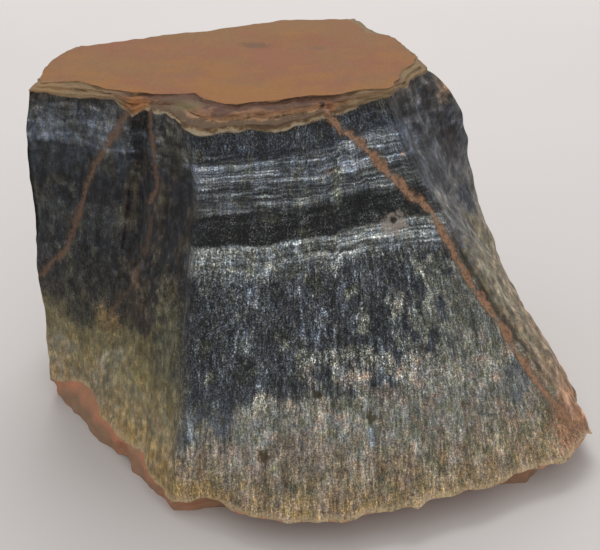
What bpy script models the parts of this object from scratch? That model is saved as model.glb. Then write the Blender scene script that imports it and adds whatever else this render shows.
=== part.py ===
"""A chunk of rough blue tiger's eye, as broken from its seam: one stone, one solid.

Upright fibres fill the seam between two thin skins of brown ironstone. The upper skin is the flat top, and
the stone rests on the lower one. The sides are fracture faces that meet in arrises, which flare out towards
the foot. A hollow runs down beside the prow, and a pointed spur of the foot reaches out to the right.

The frame is in metres, +Z up along the fibres. -Y is the broad front face, and X runs from the left end to
the spur. The origin is on the surface that the stone rests on, under the middle of its box.
"""

import math

import bmesh
import bpy
import numpy as np

MM = 0.001

# Heights of the stone's levels, in mm above the surface that it rests on
WAIST = 26.0
SHOULDER = 40.0
HEIGHT = 50.0  # the upper skin's bedding face

# The arrises, counter-clockwise seen from above, starting at the left end. Each has its places, in mm: on the
# seam's hem (with its height above the rest face), on its waist, on its shoulder, on its brow under the upper
# skin (with its height), and on the rim of the top. The last value is how far the lower skin is broken back
# under the hem.
ARRISES = {
    "left_end": ((-41, -3, 3), (-41.5, -1), (-41, -1), (-40, -0.5, 49), (-38.5, 4.5), -0.3),
    "left_face": ((-35.5, -8.5, 5.5), (-35.5, -4), (-34.5, -2.5), (-33, -1, 49), (-32, 1.5), -1.2),
    "hollow_edge": ((-30, -15.5, 4), (-28.5, -7.5), (-27, -5), (-25.5, -3.5, 49), (-26, -2.5), -1.2),
    "hollow": ((-25, -23, 3.5), (-24.5, -9.5), (-23, -7), (-22.5, -6, 49), (-21.5, -2.5), -0.8),
    "prow_flank": ((-21.5, -28, 2), (-20.5, -15.5), (-18.5, -10.5), (-19, -9, 48), (-16.5, -2.5), 0),
    "prow": ((-19.5, -31.5, 1.5), (-16.5, -21.5), (-14.5, -16), (-16.5, -12.5, 47.5), (-12, -7.5), 0.3),
    "prow_chip": ((-14.5, -33, 3.5), (-13, -22.5), (-12, -15.5), (-13, -12.5, 47.5), (-10.5, -7.5), 1),
    "front_left": ((-8.5, -36.5, 3.5), (-6.5, -22.5), (-5.5, -14), (-5.5, -11, 47.5), (-5.5, -6), 5.5),
    "front_middle": ((5, -37, 4), (4, -19), (3, -11), (2, -6.5, 48), (1, -4.5), 6),
    "front_swell": ((13.5, -35.5, 4), (9, -17), (6, -10), (4, -5, 48), (3.5, -3.5), 6.5),
    "front_right": ((21.5, -31.5, 4), (14, -15.5), (9, -8.5), (6, -3, 48.5), (5.5, -2), 6.5),
    "spur_heel": ((31, -26, 4), (19, -14), (12, -7), (8.5, -2, 48.5), (8, -1), 1.8),
    "spur": ((39.5, -20.5, 4.5), (24, -12), (14.5, -5.5), (10.5, -1.5, 48.5), (10, -0.5), 2.5),
    "flank": ((40, -1.5, 2.5), (24.5, 3), (17.5, 4.5), (14, 5.5, 49), (13, 6), 0.5),
    "flank_back": ((37, 14, 3), (26, 13), (23, 12.5), (18.5, 11.5, 48), (15.5, 11), 0.8),
    "right_end": ((33.5, 26.5, 4), (26, 20), (22, 17), (17, 16, 48.5), (14, 16), 1),
    "back_right": ((25, 34, 4), (21.5, 29), (18, 27.5), (13.5, 25.5, 49), (12.5, 25.5), 1.5),
    "back_step": ((17, 36, 4.5), (14.5, 33.5), (12, 31), (10, 29, 49.5), (9, 28), 1.5),
    "back": ((8, 37, 4), (6.5, 37.5), (6.5, 37), (7, 35.5, 49.5), (6, 34.5), 2),
    "back_middle": ((-4, 36, 3.5), (-4, 35), (-4, 34.5), (-3, 34, 49), (-3, 33.5), 2),
    "back_left": ((-18, 31.5, 4), (-18.5, 29), (-18, 28), (-16.5, 27, 49), (-16.5, 26.5), 2),
    "left_back": ((-39, 19.5, 4), (-40, 19), (-40, 18.5), (-38.5, 17.5, 49), (-38, 17), 1),
}
HEART = np.array([-3.0, 8.0])  # the point, in mm, that the top and the underside are drawn in to

# Flat spalls broken off the stone: a point on each face and the way it faces
SPALLS = {
    "left_heel": ((-38.0, 17.0, 6.0), (-0.75, 0.30, -0.60)),
    "back_heel": ((6.0, 35.0, 5.0), (0.10, 0.80, -0.60)),
}

# Rounded dints in the surface: middle, radius and depth, in mm
DINTS = {
    "below_hollow": ((-30.0, -12.0, 20.0), 9.0, 0.9),
    "prow_foot": ((-15.5, -35.0, 4.0), 4.0, 1.6),
    "front_pit": ((3.5, -26.0, 15.0), 3.5, 0.8),
    "left_notch": ((-42.0, 0.0, 31.5), 5.0, 0.8),
    "back_dish": ((-8.0, 33.0, 27.0), 15.0, 2.2),
    "left_dish": ((-42.0, 10.0, 30.0), 11.0, 1.6),
    "top_dent": ((-4.0, 19.0, 50.0), 8.0, 0.3),
}

# How the surface is divided
COLUMNS = 112  # upright lines of vertices around the stone
FRONT_CROWDING = 1.4  # how much closer together they are on the faces towards -Y
WALL_ROWS = 24
UNDERSIDE_SHARES = (0.4, 0.75, 0.95)
TOP_SHARES = (0.97, 0.9, 0.78, 0.6, 0.4, 0.2)

# The lower skin's broken edge: height as a share of the skin, the share of its undercut that is left, and the
# share of the faces' relief that it takes on
SKIN_PROFILE = ((0.0, 1.0, 0.0), (0.5, 0.85, 0.3), (0.85, 0.6, 0.6))
BROW_RELIEF = (0.7, 0.4, 0.2)  # the share of the relief that the wall's last rows keep

# The stepped laminae of the upper skin, from brow to rim: share of the way in, and share of the way up
LEDGE_PROFILE = ((0.06, 0.34), (0.46, 0.42), (0.54, 0.72), (0.93, 0.80), (1.0, 1.0))

RAGGED_CELL = 5.0  # how far apart the jags of the broken edges are, in mm
HEM_JAG, BROW_JAG, RIM_JAG = 0.8, 0.4, 0.6  # and how deep, in mm
FLUTE_CELL, FLUTE_RUN, FLUTE = 3.6, 22.0, 0.7  # flutes along the fibres: width, length and depth, in mm
LUMP_CELL, LUMP = 13.0, 0.9  # broad swells of the faces, in mm
TOP_CELL, TOP_SWELL = 16.0, 0.35  # the bedding face's swell, in mm

CREASE = math.radians(30.0)  # facets that meet more sharply than this keep a hard edge
STONE_COLOUR = (0.20, 0.20, 0.18, 1.0)


def grain(points, cell, seed):
    """Smooth noise from -1 to 1 at points (..., 3) in mm: random values on a lattice, blended between."""
    values = np.random.default_rng(seed).uniform(-1.0, 1.0, 4096)
    places = points / cell
    corner = np.floor(places).astype(np.int64)
    share = places - corner
    share = share * share * (3.0 - 2.0 * share)
    total = np.zeros(points.shape[:-1])
    for offset in np.ndindex(2, 2, 2):
        key = (corner + offset) @ np.array([73856093, 19349663, 83492791])
        near = np.where(np.array(offset) == 1, share, 1.0 - share)
        total += values[key & 4095] * near.prod(axis=-1)
    return total


def around(places):
    """Carries one row of arris places (arrises, n) on to all the columns, straight between neighbours."""
    hem = np.array([arris[0][:2] for arris in ARRISES.values()])
    spans = np.linalg.norm(np.roll(hem, -1, axis=0) - hem, axis=1)
    spans[hem[:, 1] < 0.0] *= FRONT_CROWDING
    ends = np.round(np.cumsum(spans) / spans.sum() * COLUMNS).astype(int)
    starts = np.concatenate([[0], ends[:-1]])
    rows = []
    for here, following, start, end in zip(places, np.roll(places, -1, axis=0), starts, ends):
        share = np.arange(end - start) / (end - start)
        rows.append(here + np.multiply.outer(share, following - here))
    return np.concatenate(rows)


def inward(flat, distance):
    """Moves points (..., 2) towards the heart of the stone by a distance in mm."""
    way = HEART - flat
    return flat + way / np.linalg.norm(way, axis=-1, keepdims=True) * distance[..., None]


def ragged(ring, jag, seed):
    """Wanders a ring of points in and out and up and down, as a broken edge does."""
    rough = grain(ring, RAGGED_CELL, seed) * jag
    return np.concatenate([inward(ring[:, :2], rough), ring[:, 2:] + rough[:, None]], axis=1)


def at_height(flat, height):
    """Gives a ring of points (n, 2) its height."""
    return np.concatenate([flat, np.full((len(flat), 1), height)], axis=1)


def wall_rings(levels):
    """The seam's rings from hem to brow, on a smooth curve through the points of all its levels."""
    rises = [upper - lower for lower, upper in zip(levels, levels[1:])]
    slopes = [rise[:, :2] / rise[:, 2:] for rise in rises]
    leans = [slopes[0], (slopes[0] + slopes[1]) / 2, (slopes[1] + slopes[2]) / 2, slopes[2]]
    rings = []
    for share in np.linspace(0.0, 1.0, WALL_ROWS + 1):
        z = levels[0][:, 2:] + (levels[-1][:, 2:] - levels[0][:, 2:]) * share
        flat = levels[0][:, :2]
        for lower, rise, lean, next_lean in zip(levels, rises, leans, leans[1:]):
            up = np.clip((z - lower[:, 2:]) / rise[:, 2:], 0.0, 1.0)
            bend = up * (1.0 - up) * ((1.0 - up) * lean - up * next_lean)
            flat = flat + up * up * (3.0 - 2.0 * up) * rise[:, :2] + bend * rise[:, 2:]
        rings.append(np.concatenate([flat, z], axis=1))
    return rings


def stone_rings():
    """All rings of the surface, from inside the underside, up the wall and in over the top."""
    hem, waist, shoulder, brow, rim, undercut = [around(np.array(row)) for row in zip(*ARRISES.values())]
    hem = ragged(hem, HEM_JAG, seed=1)
    waist = at_height(waist, WAIST)
    shoulder = at_height(shoulder, SHOULDER)
    brow = ragged(brow, BROW_JAG, seed=2)
    rim = ragged(at_height(rim, HEIGHT), RIM_JAG, seed=3)
    rim[:, 2] = HEIGHT

    skin = []
    for up, left, _ in SKIN_PROFILE:
        skin.append(np.concatenate([inward(hem[:, :2], undercut * left), hem[:, 2:] * up], axis=1))
    heart = np.append(HEART, 0.0)
    underside = [heart + (skin[0] - heart) * share for share in UNDERSIDE_SHARES]
    ledges = []
    for across, up in LEDGE_PROFILE:
        flat = brow[:, :2] + (rim[:, :2] - brow[:, :2]) * across
        ledges.append(np.concatenate([flat, brow[:, 2:] + (rim[:, 2:] - brow[:, 2:]) * up], axis=1))
    heart = np.append(HEART, HEIGHT)
    top = [heart + (rim - heart) * share for share in TOP_SHARES]
    return underside, skin, wall_rings([hem, waist, shoulder, brow]), ledges, top


def weather(points, depth):
    """Works the flutes and swells and the dints into the points. depth is 1 on the wall and 0 off it."""
    stretched = points * np.array([1.0, 1.0, FLUTE_CELL / FLUTE_RUN])
    relief = grain(stretched, FLUTE_CELL, 4) * FLUTE + grain(points, LUMP_CELL, 5) * LUMP
    flat = inward(points[..., :2], relief * depth)
    points = np.concatenate([flat, points[..., 2:]], axis=-1)
    middle = np.append(HEART, HEIGHT / 2)
    for place, radius, deep in DINTS.values():
        gap = np.linalg.norm(points - np.array(place), axis=-1, keepdims=True) / radius
        bowl = deep * np.clip(1.0 - gap**2, 0.0, 1.0)
        way = middle - np.array(place)
        points = points + way / np.linalg.norm(way) * bowl
    return points


def spall(points):
    """Slides what stands out past each spall's face back on to it."""
    for place, facing in SPALLS.values():
        facing = np.array(facing) / np.linalg.norm(facing)
        proud = np.clip((points - np.array(place)) @ facing, 0.0, None)
        points = points - proud[..., None] * facing
    return points


def stone_points():
    """Every ring as one array (rings, columns, 3) in mm, with its box's middle over the origin."""
    underside, skin, wall, ledges, top = stone_rings()
    depth = [0.0] * len(underside) + [relief for _, _, relief in SKIN_PROFILE]
    depth += [1.0] * (len(wall) - len(BROW_RELIEF)) + [*BROW_RELIEF]
    depth += [0.0] * (len(ledges) + len(top))
    points = np.array(underside + skin + wall + ledges + top)
    points = spall(weather(points, np.array(depth)[:, None]))
    first_top = len(points) - len(top)
    points[first_top:, :, 2] += TOP_SWELL * grain(points[first_top:], TOP_CELL, 6)
    points[:, :, 2] = np.clip(points[:, :, 2], 0.0, HEIGHT)
    points[: len(underside) + 1, :, 2] = 0.0
    middle = (points.min(axis=(0, 1)) + points.max(axis=(0, 1))) / 2
    return points - np.append(middle[:2], 0.0)


def make_stone(points):
    """Skins the rings with faces, closes the underside and the top, and returns the object."""
    mesh = bpy.data.meshes.new("tigers_eye_chunk")
    bm = bmesh.new()
    rings = [[bm.verts.new(place * MM) for place in ring] for ring in points]
    for lower, upper in zip(rings, rings[1:]):
        for a in range(COLUMNS):
            b = (a + 1) % COLUMNS
            bm.faces.new((lower[a], lower[b], upper[b], upper[a]))
    caps = [bm.faces.new(reversed(rings[0])), bm.faces.new(rings[-1])]
    bmesh.ops.poke(bm, faces=caps)
    bmesh.ops.triangulate(bm, faces=bm.faces, quad_method="SHORT_EDGE")
    bm.to_mesh(mesh)
    bm.free()
    mesh.shade_smooth()
    mesh.set_sharp_from_angle(angle=CREASE)
    stone = bpy.data.objects.new("tigers_eye_chunk", mesh)
    bpy.context.scene.collection.objects.link(stone)
    return stone


def stone_material():
    """Dull grey-blue fibrous quartz."""
    material = bpy.data.materials.new("fibrous_quartz")
    material.use_nodes = True
    shader = material.node_tree.nodes["Principled BSDF"]
    shader.inputs["Base Color"].default_value = STONE_COLOUR
    shader.inputs["Roughness"].default_value = 0.6
    shader.inputs["Metallic"].default_value = 0.0
    return material


for old in list(bpy.data.objects):
    bpy.data.objects.remove(old)
stone = make_stone(stone_points())
stone.data.materials.append(stone_material())
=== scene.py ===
"""A chunk of rough blue tiger's eye resting on a pale table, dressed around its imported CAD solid.

The table, its light and the camera are in metres, and the stone is in mm until its mesh is made. +Z is up,
and the stone's broad front face looks towards -Y.
"""

import math

import bpy
import numpy as np
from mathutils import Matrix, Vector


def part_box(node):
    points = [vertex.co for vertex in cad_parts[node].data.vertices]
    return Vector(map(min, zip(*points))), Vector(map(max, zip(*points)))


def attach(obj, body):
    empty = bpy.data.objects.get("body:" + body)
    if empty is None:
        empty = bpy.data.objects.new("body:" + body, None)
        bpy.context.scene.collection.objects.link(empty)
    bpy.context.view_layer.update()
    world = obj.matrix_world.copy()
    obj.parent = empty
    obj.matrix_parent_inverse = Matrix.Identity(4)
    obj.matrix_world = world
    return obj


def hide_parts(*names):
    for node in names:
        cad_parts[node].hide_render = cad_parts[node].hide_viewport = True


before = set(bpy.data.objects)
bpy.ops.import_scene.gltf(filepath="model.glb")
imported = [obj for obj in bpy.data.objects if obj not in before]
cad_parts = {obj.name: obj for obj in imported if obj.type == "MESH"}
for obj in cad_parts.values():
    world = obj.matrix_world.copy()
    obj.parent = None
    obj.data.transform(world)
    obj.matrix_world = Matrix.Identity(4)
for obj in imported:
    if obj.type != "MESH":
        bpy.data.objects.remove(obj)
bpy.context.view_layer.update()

# ---------------------------------------------------------------------------------------------------------
# The table and its light
# A plain pale table top, wide enough to fill the view. A pale room lights it softly from all round, with
# one broad lamp high behind the stone's right shoulder and a weak one in front.
# ---------------------------------------------------------------------------------------------------------

TABLE_WIDTH = 3.0
ROOM_COLOUR = (1.0, 0.985, 0.97)
ROOM_STRENGTH = 0.80
LAMPS = {  # place, what it aims at, width, watts
    "lamp_behind": ((0.0, 0.48, 0.62), (0.0, 0.14, 0.0), 0.55, 3.15),
    "lamp_in_front": ((0.12, -0.60, 0.45), (0.0, 0.0, 0.02), 0.40, 0.6),
}
EYE = (-0.0014, -0.1505, 0.1000)  # the camera's place
LOOKS_DOWN = math.radians(28.0)
LENS = 67.2  # mm, on a sensor 36 mm wide


def paint(red, green, blue):
    """A colour as it looks, 0 to 255, as the linear one that shaders use: ((c + 0.055) / 1.055)^2.4."""
    return (*(((np.array([red, green, blue]) / 255 + 0.055) / 1.055) ** 2.4).tolist(), 1.0)


TABLE_COLOUR = paint(193, 189, 187)


def node(tree, kind, inputs=None, **settings):
    """Adds a shader node with its settings, and gives each input a value or another node's output."""
    made = tree.nodes.new("ShaderNode" + kind)
    for name, value in settings.items():
        setattr(made, name, value)
    for name, value in (inputs or {}).items():
        if isinstance(value, bpy.types.NodeSocket):
            tree.links.new(value, made.inputs[name])
        else:
            made.inputs[name].default_value = value
    return made


def cloud(tree, place, scale, detail=2.0, roughness=0.5):
    """Cloudy noise, about 0.5 all over, with lumps about 1 / scale across in the units of its place."""
    sockets = {"Vector": place, "Scale": scale, "Detail": detail, "Roughness": roughness}
    return node(tree, "TexNoise", sockets).outputs[0]


def mixed(tree, share, first, second, blend="MIX"):
    """The first colour where share is 0 and the second where it is 1."""
    sockets = {0: share, 6: first, 7: second}
    return node(tree, "Mix", sockets, data_type="RGBA", blend_type=blend).outputs[2]


def between(tree, value, start, end, low=0.0, high=1.0):
    """low where value is at start, high where it is at end, and an even slope between them."""
    sockets = {"Value": value, "From Min": start, "From Max": end, "To Min": low, "To Max": high}
    return node(tree, "MapRange", sockets).outputs[0]


def table_mesh(width):
    """A flat square of the given width around the origin, facing up."""
    corners = np.array([(-1, -1, 0), (1, -1, 0), (1, 1, 0), (-1, 1, 0)]) * (width / 2)
    mesh = bpy.data.meshes.new("table")
    mesh.from_pydata(corners.tolist(), [], [(0, 1, 2, 3)])
    return mesh


def table_finish():
    """Smooth matt paint, with a breath of unevenness in its colour."""
    finish = bpy.data.materials.new("pale_table_paint")
    finish.use_nodes = True
    tree = finish.node_tree
    shader = tree.nodes["Principled BSDF"]
    here = node(tree, "TexCoord").outputs["Object"]
    tone = between(tree, cloud(tree, here, 9.0), 0.3, 0.7, 0.98, 1.02)
    tree.links.new(mixed(tree, 1.0, TABLE_COLOUR, tone, "MULTIPLY"), shader.inputs["Base Color"])
    shader.inputs["Roughness"].default_value = 0.65
    shader.inputs["Specular IOR Level"].default_value = 0.25
    return finish


table = bpy.data.objects.new("table", table_mesh(TABLE_WIDTH))
table.data.materials.append(table_finish())
bpy.context.scene.collection.objects.link(table)

world = bpy.data.worlds.new("pale_room")
world.use_nodes = True
world.node_tree.nodes["Background"].inputs["Color"].default_value = (*ROOM_COLOUR, 1.0)
world.node_tree.nodes["Background"].inputs["Strength"].default_value = ROOM_STRENGTH
bpy.context.scene.world = world
bpy.context.scene.view_settings.view_transform = "Standard"

for name, (place, target, width, watts) in LAMPS.items():
    lamp = bpy.data.objects.new(name, bpy.data.lights.new(name, "AREA"))
    lamp.data.shape = "DISK"
    lamp.data.size = width
    lamp.data.energy = watts
    lamp.location = place
    aim = np.array(target) - np.array(place)
    tip = math.acos(-aim[2] / np.linalg.norm(aim))
    lamp.rotation_euler = (tip, 0.0, math.atan2(aim[1], aim[0]) - math.pi / 2)
    bpy.context.scene.collection.objects.link(lamp)

camera = bpy.data.objects.new("camera", bpy.data.cameras.new("camera"))
camera.data.lens = LENS
camera.data.sensor_width = 36.0
camera.data.clip_start = 0.01
camera.location = EYE
camera.rotation_euler = (math.radians(90.0) - LOOKS_DOWN, 0.0, 0.0)
bpy.context.scene.collection.objects.link(camera)
bpy.context.scene.camera = camera

# ---------------------------------------------------------------------------------------------------------
# The stone
# One chunk broken from a seam of blue tiger's eye. Fine upright fibres of quartz fill the seam between two
# thin skins of brown ironstone, and all of it is grown together. The sides are fresh fractures, splintery
# along the fibres, and rusty veins run across them.
# ---------------------------------------------------------------------------------------------------------

# Heights of its levels, in mm above the table
WAIST = 26.0
SHOULDER = 40.0
HEIGHT = 50.0

# Its arrises, counter-clockwise seen from above, in mm: hem (x, y, z), waist (x, y), shoulder (x, y), brow
# under the upper skin (x, y, z), rim of the top (x, y), and how far the lower skin is broken back
ARRISES = {
    "left_end": ((-41, -3, 3), (-41.5, -1), (-41, -1), (-40, -0.5, 49), (-39.2, 1.5), 0.8),
    "left_face": ((-35.5, -8.5, 5.5), (-35.5, -4), (-34.5, -2.5), (-33, -1, 49), (-33.5, 2.5), -1),
    "left_vein": ((-31.5, -13.5, 4.5), (-30.5, -6.5), (-29, -4.3), (-27.4, -3, 49), (-28, -1.2), -1.2),
    "hollow_edge": ((-29, -16.8, 4), (-27.5, -8), (-25.6, -6), (-24.7, -5, 47.6), (-25.5, -2.5), -0.2),
    "hollow": ((-26.5, -21, 3.8), (-26, -9), (-24, -6.1), (-23, -4.3, 48.3), (-22.6, -2.6), -0.6),
    "hollow_side": ((-24, -24.5, 3.2), (-23.5, -11), (-21, -8.4), (-20.2, -7.5, 48.7), (-19.5, -2.4), -0.6),
    "prow_flank": ((-21.5, -28, 2), (-20.5, -15.5), (-19.2, -11), (-18.9, -10.3, 48.2), (-16.5, -2.5), 0),
    "prow": ((-19.5, -31.5, 1.5), (-16.5, -21.5), (-15.8, -15.8), (-17.2, -12.3, 47.7), (-12, -7.5), 0.3),
    "prow_chip": ((-14.5, -33, 3), (-13, -22.5), (-12.8, -15.8), (-13.5, -12.5, 47.5), (-10.5, -7.5), 3),
    "front_left": ((-8.5, -36.5, 3.5), (-6.5, -22.5), (-5.5, -14), (-5.5, -11, 47.5), (-5.5, -6), 5.5),
    "front_middle": ((5, -37, 4), (4, -19), (3, -11), (2, -6.5, 48), (1, -4.5), 6),
    "front_swell": ((13.5, -35.5, 4), (9, -17), (6, -10), (4, -5, 48), (3.5, -3.5), 6.5),
    "front_right": ((21.5, -31.5, 4), (14, -15.5), (9, -8.5), (6, -3, 48.5), (5.5, -2), 6.5),
    "spur_heel": ((31, -26, 4), (19, -14), (12, -7), (8.5, -2, 48.5), (8, -1), 1.8),
    "spur": ((38.6, -21, 4.3), (23.6, -12.3), (14.3, -5.8), (10.3, -1.7, 48.5), (9.8, -0.7), 6),
    "spur_tip": ((40.3, -17.8, 3.2), (25, -9.5), (15.4, -3.6), (11.3, -0.2, 48.7), (10.7, 0.8), 5),
    "flank": ((40, -1.5, 2.5), (24.5, 3), (17.5, 4.5), (14, 5.5, 49), (13, 6), 0.5),
    "flank_back": ((37, 14, 3), (26, 13), (23, 12.5), (17, 11.5, 48.6), (15.6, 11), 0.8),
    "right_end": ((33.5, 26.5, 4), (26, 20), (22, 17), (16, 16, 48.7), (14.4, 16), 1),
    "back_right": ((25, 34, 4), (21.5, 29), (18, 27.5), (13.5, 25.5, 49), (12.5, 25.5), 1.5),
    "back_step": ((17, 36, 4.5), (14.5, 33.5), (12, 31), (10, 29, 49.5), (9, 28), 1.5),
    "back": ((8, 37, 4), (6.5, 37.5), (6.5, 37.2), (7, 36.6, 49.5), (6, 35.8), 2),
    "back_middle": ((-4, 36, 3.5), (-4, 35.8), (-4, 35.7), (-3, 35.6, 49), (-3, 35.2), 2),
    "back_left": ((-18, 31.5, 4), (-18.5, 30), (-18, 29.5), (-16.5, 29, 49), (-16.5, 28.6), 2),
    "back_corner": ((-37, 20.8, 4), (-38, 20.6), (-38, 20.5), (-37, 20, 49), (-36.6, 19.6), 1),
    "left_back": ((-39.3, 17, 4), (-40.2, 16.5), (-40.2, 16), (-39.1, 14.8, 49), (-38.8, 14.4), 1),
}
HEART = np.array([-3.0, 8.0])  # what the top and the underside are drawn in to, in mm
MIDDLE = np.array([-0.6, 0.04, 0.0])  # the middle of its box, in the same mm

# Flat spalls broken off it: a point of the face and the way it looks. Rounded dints: middle, radius and
# depth, which is below 0 where it swells out
SPALLS = {
    "left_heel": ((-38.0, 17.0, 6.0), (-0.75, 0.30, -0.60)),
    "back_heel": ((6.0, 35.0, 5.0), (0.10, 0.80, -0.60)),
    "back_low": ((-27.0, 26.8, 18.0), (-0.48, 0.86, -0.14)),
    "right_high": ((18.7, 24.2, 37.6), (0.84, 0.38, 0.39)),
}
DINTS = {
    "below_hollow": ((-30.0, -12.0, 20.0), 9.0, 0.9),
    "prow_foot": ((-15.5, -35.0, 4.0), 4.0, 1.6),
    "front_pit": ((3.5, -26.0, 15.0), 3.5, 0.8),
    "left_notch": ((-42.0, 0.0, 31.5), 5.0, 0.3),
    "back_dish": ((-8.0, 33.0, 27.0), 15.0, 2.2),
    "left_dish": ((-42.0, 10.0, 30.0), 11.0, 1.6),
    "flank_swell": ((21.0, 10.0, 44.5), 6.0, -1.4),
    "tip_swell": ((37.5, -15.5, 9.0), 5.5, -0.9),
    "crust_notch": ((-27.5, -20.5, 1.0), 2.6, 1.1),
    "top_dent": ((-4.0, 19.0, 50.0), 8.0, 0.3),
}

# How it is divided
COLUMNS = 512  # a power of two, so that the discs can halve it towards their middles
FRONT_CROWDING = 2.0  # how much closer its columns stand on the faces towards -Y
SKIN_ROWS, WALL_ROWS, LEDGE_ROWS = 10, 112, 25
TOP_RINGS, UNDERSIDE_RINGS = 16, 6  # rings of a disc before its columns are first halved

# Broken edges of its skins. Lower: height as a share of the hem, and share of the undercut left. Upper, in
# two steps: share of the way in from brow to rim, and share of the way up
LOWER_EDGE = ((0.0, 0.5, 0.85, 1.0), (1.0, 0.85, 0.6, 0.0))
UPPER_EDGE = ((0.0, 0.06, 0.46, 0.54, 0.93, 1.0), (0.0, 0.34, 0.42, 0.72, 0.80, 1.0))
LAMINA = 0.35  # thickness of the upper skin's sheets, in mm
LAMINA_JAG = (1.8, 1.0, 0.30)  # width, length and depth of the lumps that each is broken back by, in mm
LONG_WAVE, SHORT_WAVE = 5.0, 1.7  # the waves in which its long edges wander, in mm, and how far in each:
HEM_JAG, BROW_JAG, RIM_JAG = (0.7, 0.2), (0.5, 0.25), (0.9, 0.45)

# How clearly the bands show on the face that follows an arris, 0 to 1, how far it is worn pale at an arris,
# and where its fibres lie side by side instead of fanned
BANDED = dict.fromkeys(["prow", "prow_chip", "front_left", "front_middle", "front_swell", "front_right"], 1.0)
BANDED.update(dict.fromkeys(["hollow_edge", "hollow", "hollow_side", "prow_flank", "spur_tip", "flank"], 0.0))
BANDED.update({"left_end": 0.1, "left_face": 0.1, "left_vein": 0.1, "spur_heel": 0.9, "spur": 0.4})
BANDED_ELSEWHERE = 0.2
WORN = {"spur": 0.5, "spur_tip": 1.0, "flank": 1.0, "flank_back": 0.8}
WORN_PAST = (0.6, 1.6)  # it grows worn over these distances to the right of the right vein, in mm,
WORN_BELOW = (35.0, 31.0)  # and from the first of these heights down to the second
SIDE_BY_SIDE = {"spur": 0.5, "spur_tip": 1.0, "flank": 1.0}

# How much of the flutes and swells is left up the lower skin's edge, and up the seam towards the brow
CRUST_SHARES = ((0.0, 0.5, 0.85, 1.0), (0.0, 0.3, 0.6, 1.0))
BROW_SHARES = ((0.875, 0.917, 0.958, 1.0), (1.0, 0.7, 0.4, 0.2))

# Its relief: width and length of the lumps and how deep they go, in mm
FLUTES = (3.6, 22.0, 0.7)
SWELLS = (13.0, 13.0, 0.9)
SPLINTERS = (2.6, 16.0, 0.45)
BUNDLES = (1.5, 12.0, 0.15)
THREADS = (0.7, 5.0, 0.12)
GRIT = (1.1, 1.1, 0.16)
TOP_SWELLS = (16.0, 16.0, 0.18)
TOP_RIPPLES = (5.0, 5.0, 0.05)
UNDERSIDE_PITS = (2.2, 2.2, 0.25)
SKIN_LUMPS = (2.0, 1.4, 0.30)
WORN_LUMPS = (2.2, 3.4, 0.55)
WORN_AWAY = 0.7  # the share of the fibres' own relief that is gone where it is worn
BARE_OF_GRIT = 0.6  # the share of the grit that the fibres are without
FAN = 0.35  # how far the fibres of the front spread out towards its foot, of all that its columns do
SHARP = math.radians(50.0)  # faces that meet at more than this keep a sharp edge

# Veins on its faces and a crack: a line of corners, half a width, and how deep it is weathered, in mm
VEINS = {
    "right_vein": (
        [(1.9, -5.1, 48.9), (3.5, -6.6, 46.8), (6.8, -6.1, 44), (10.2, -7.2, 40.5)]
        + [(13.6, -8.2, 37.3), (17, -8.7, 34.8), (19.1, -10.2, 31.4), (20.4, -11.5, 28.8)]
        + [(22.9, -13.2, 24.9), (26.3, -14.9, 21.1), (29.4, -16.9, 16.4), (32.3, -18.9, 12.6)]
        + [(35.9, -20.1, 8.4), (39, -20.9, 5.4)],
        0.38,
        0.30,
    ),
    "left_vein": (
        [(-24.8, -4.8, 48), (-26.3, -4.3, 45.6), (-28.1, -4.4, 42.9), (-30.4, -3.9, 39.4), (-31.9, -3.7, 36)]
        + [(-33.5, -3.7, 31.6), (-35.7, -4, 26.2), (-38.3, -2.5, 23.8), (-40.3, -1.7, 20.7)],
        0.35,
        0.20,
    ),
    "hollow_vein": (
        [(-21.7, -5.8, 48), (-21.6, -7.1, 44.6), (-21, -8.5, 40.8), (-21, -8.9, 38.6), (-22.2, -8.7, 36)],
        0.22,
        0.12,
    ),
    "hollow_vein_foot": (
        [(-22.4, -8.6, 35.1), (-22.2, -9.5, 32.4), (-22.7, -10, 30), (-24, -10.3, 26.9), (-26.5, -8.8, 22.2)]
        + [(-29.1, -8.9, 18.6)],
        0.30,
        0.08,
    ),
    "crack": (
        [(19.9, -9.4, 31.8), (21.6, -11.2, 28.8), (23.8, -12.7, 25.2), (26.2, -14.4, 22), (28.4, -14.6, 19.5)]
        + [(29.9, -15.7, 17.6), (32.5, -17.3, 14.4)],
        0.26,
        0.25,
    ),
}
NODULE = ((11.5, -11.4, 34.0), 2.0, 0.25)  # a pale knot: place, radius and how far it stands out, in mm
PITS = {  # place, radius, depth in mm, and colour
    "nodule_pit": ((11.3, -11.1, 34.4), 0.55, 0.5, (32, 32, 27)),
    "by_right_vein": ((1.6, -5.1, 49.0), 0.4, 0.3, (58, 42, 33)),
    "low_left": ((-6.2, -32.1, 10.2), 0.8, 0.5, (70, 56, 34)),
    "low_middle": ((1.0, -27.1, 16.4), 0.6, 0.4, (52, 46, 32)),
    "low_right": ((8.1, -28.4, 13.6), 0.7, 0.4, (66, 60, 42)),
}

LATTICE = 4096  # how many random values there are, a power of two
SCATTER = np.array([73856093, 19349663, 83492791])  # primes that scatter a lattice's corners over them


def grain(points, lumps, seed):
    """Smooth noise at points (..., 3) in mm, in lumps (width, length along +Z, depth), up to their depth.

    Random values sit on a lattice as wide as the lumps, and the noise blends the eight round each point.
    """
    width, length, depth = lumps
    values = np.random.default_rng(seed).uniform(-depth, depth, LATTICE)
    places = points / np.array([width, width, length])
    corner = np.floor(places).astype(np.int64)
    share = places - corner
    share = share * share * (3.0 - 2.0 * share)
    total = np.zeros(points.shape[:-1])
    for offset in np.ndindex(2, 2, 2):
        key = (corner + offset) @ SCATTER
        near = np.where(np.array(offset) == 1, share, 1.0 - share)
        total += values[key & (LATTICE - 1)] * near.prod(axis=-1)
    return total


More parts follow.
